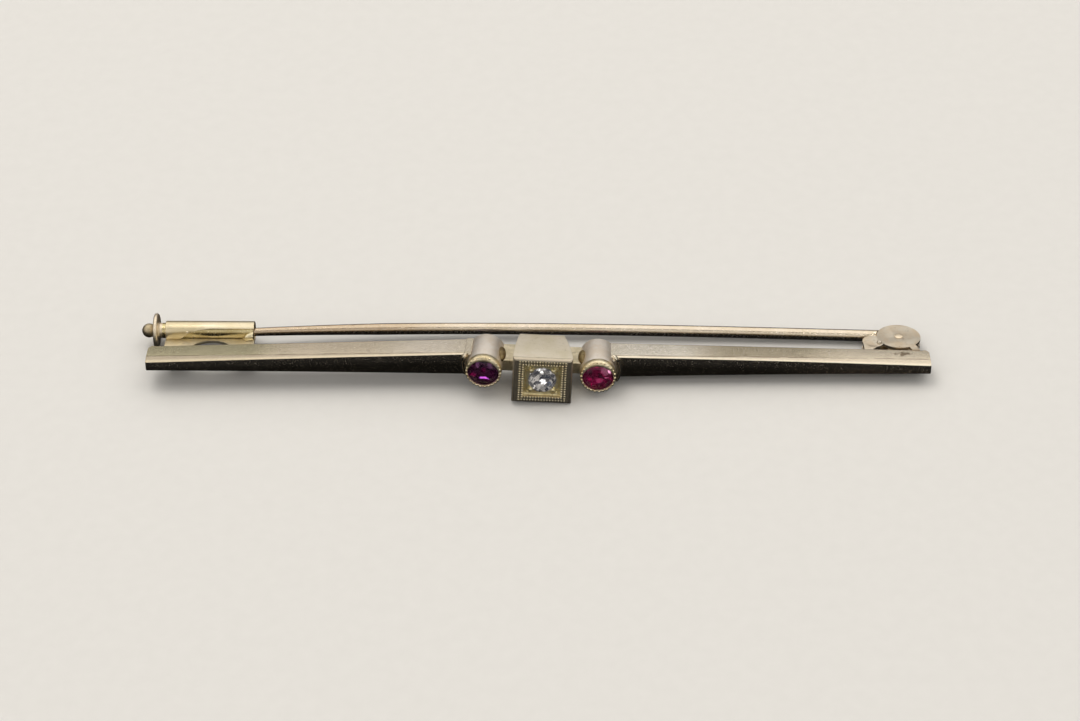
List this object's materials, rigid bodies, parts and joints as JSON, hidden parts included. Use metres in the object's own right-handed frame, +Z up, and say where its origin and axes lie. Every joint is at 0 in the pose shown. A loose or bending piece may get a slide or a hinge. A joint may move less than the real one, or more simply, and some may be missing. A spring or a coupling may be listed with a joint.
{
  "type": "bar brooch",
  "caption": "Slim tapering bar brooch with a square diamond setting between rubies in tube settings, and a hinged pin that closes in a sheath with a sliding safety tube.",
  "frame": {"origin": "on the surface that the brooch lies on, under the middle of its footprint", "axes": "+X along the bar towards the pin's hinge, +Y from the stones' face back to the pin, +Z up from the surface; the brooch lies on its setting's lower edge, its catch's finger disc and its hinge's lower cheek, leaning back 10.1 degrees"},
  "size_m": [0.0609, 0.0086, 0.0042],
  "materials": {
    "white_gold": "polished, worn, with fine scratches",
    "pale_gold": "worn satin",
    "yellow_gold": "polished, worn",
    "rose_gold": "polished, worn",
    "ruby_dark": "cut and polished",
    "ruby_pink": "cut and polished",
    "diamond": "old cut, polished"
  },
  "bodies": {
    "brooch": {"arm_left": "white_gold", "arm_right": "white_gold", "ruby_collet_left": "white_gold", "ruby_collet_right": "white_gold", "diamond_box": "white_gold", "stone_plate": "yellow_gold", "ruby_left": "ruby_dark", "ruby_right": "ruby_pink", "diamond": "diamond", "catch": "yellow_gold", "hinge_bracket": "pale_gold", "hinge_rivet": "pale_gold"},
    "pin": {"pin_stem": "rose_gold"},
    "slider": {"safety_slider": "rose_gold"}
  },
  "joints": [
    {"name": "pin_hinge", "type": "hinge", "parent": "brooch", "child": "pin", "pos_m": [0.02832, 0.00212, 0.00071], "axis": [-0.0127, -0.1748, -0.9845], "range_deg": [0, 100]},
    {"name": "safety_slide", "type": "slide", "parent": "brooch", "child": "slider", "axis": [-0.9999, 0, 0.0129], "range_m": [0, 0.00465]}
  ]
}
